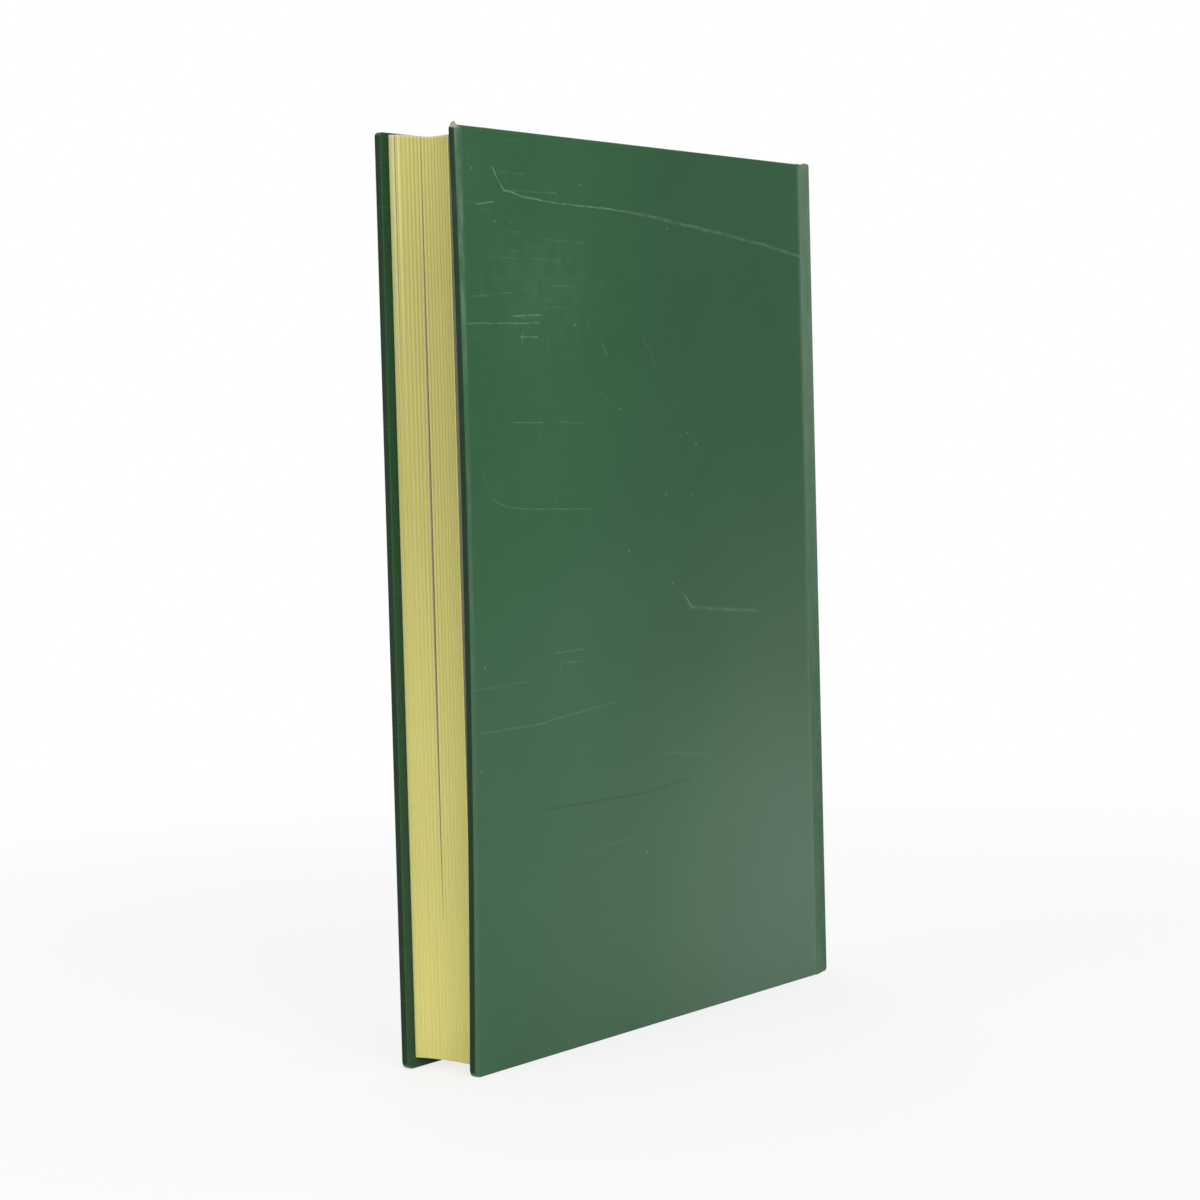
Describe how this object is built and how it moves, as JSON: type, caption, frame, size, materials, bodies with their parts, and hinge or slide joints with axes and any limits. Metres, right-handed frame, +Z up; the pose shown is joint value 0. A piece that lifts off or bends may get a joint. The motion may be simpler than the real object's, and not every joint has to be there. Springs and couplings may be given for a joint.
{
  "type": "hardback book",
  "caption": "Case-bound hardback book standing on its tail, with rounded hollow spine, grooved joints, sewn pages, a slightly warped cover and two covers that open.",
  "frame": {"origin": "middle of the outside box seen from above, on the surface that the book stands on", "axes": "+Z up to the head of the book, +X towards the fore edge, +Y towards the back cover"},
  "size_m": [0.1798, 0.0274, 0.2466],
  "materials": {
    "page_edges": "matt paper, yellow-green stained edges",
    "gauze": "open cotton gauze",
    "lining_card": "matt brown card",
    "headband": "woven cotton",
    "endpaper": "matt paper",
    "cover_cloth": "coated book cloth, semi-gloss, finely woven, scratched",
    "board": "grey board"
  },
  "bodies": {
    "book_block": {"text_block": "page_edges", "mull": "gauze", "back_lining": "lining_card", "head_band": "headband", "tail_band": "headband", "front_flyleaf": "endpaper", "back_flyleaf": "endpaper", "spine_inlay": "lining_card", "spine_cloth": "cover_cloth"},
    "front_cover": {"front_board": "board", "front_cloth": "cover_cloth", "front_mull_flap": "gauze", "front_pastedown": "endpaper"},
    "back_cover": {"back_board": "board", "back_cloth": "cover_cloth", "back_mull_flap": "gauze", "back_pastedown": "endpaper"}
  },
  "joints": [
    {"name": "front_cover_hinge", "type": "hinge", "parent": "book_block", "child": "front_cover", "pos_m": [-0.08406, -0.01372, 0.123], "axis": [0, 0, -1], "range_deg": [0, 180]},
    {"name": "back_cover_hinge", "type": "hinge", "parent": "book_block", "child": "back_cover", "pos_m": [-0.08406, 0.01108, 0.123], "axis": [0, 0, 1], "range_deg": [0, 180]}
  ]
}
